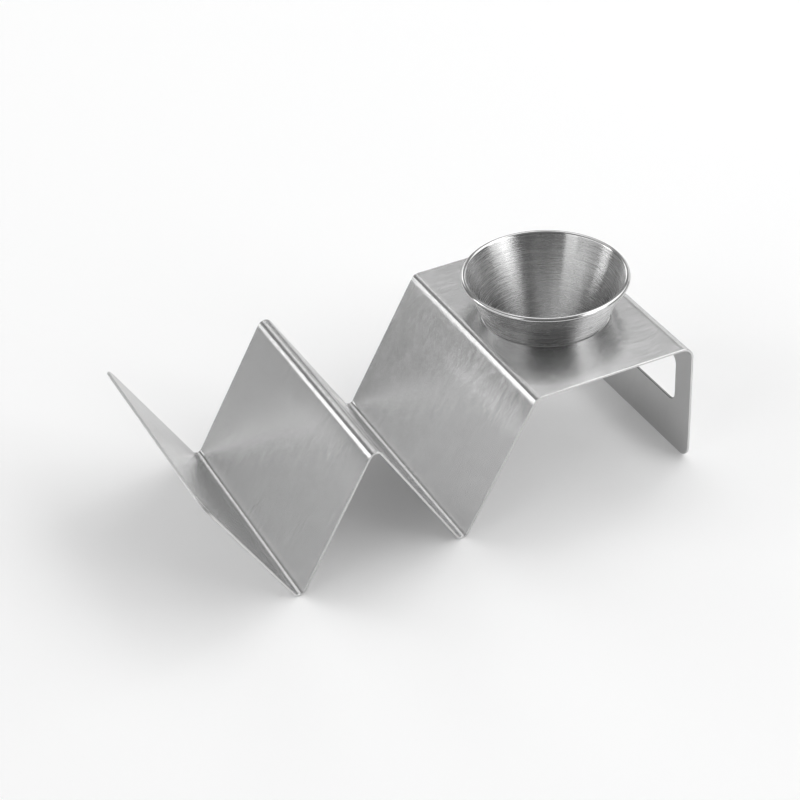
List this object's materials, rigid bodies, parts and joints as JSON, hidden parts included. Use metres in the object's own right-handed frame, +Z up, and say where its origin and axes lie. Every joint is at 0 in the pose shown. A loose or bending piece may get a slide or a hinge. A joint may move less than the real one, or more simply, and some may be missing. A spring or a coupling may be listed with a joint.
{
  "type": "taco holder",
  "caption": "Folded steel taco stand with V-shaped troughs and a flat shelf on a windowed leg, where a tapered sauce cup hangs in a round hole.",
  "frame": {"origin": "on the table, under the middle of the whole length and width", "axes": "+X along the strip from the free lip to the leg, +Y across the sheet, +Z up"},
  "size_m": [0.203, 0.1, 0.071],
  "materials": {
    "brushed_sheet": "brushed along the strip, satin",
    "spun_cup": "brushed round the cup, satin"
  },
  "bodies": {
    "root": {"folded_holder": "brushed_sheet", "sauce_cup": "spun_cup"}
  },
  "joints": []
}
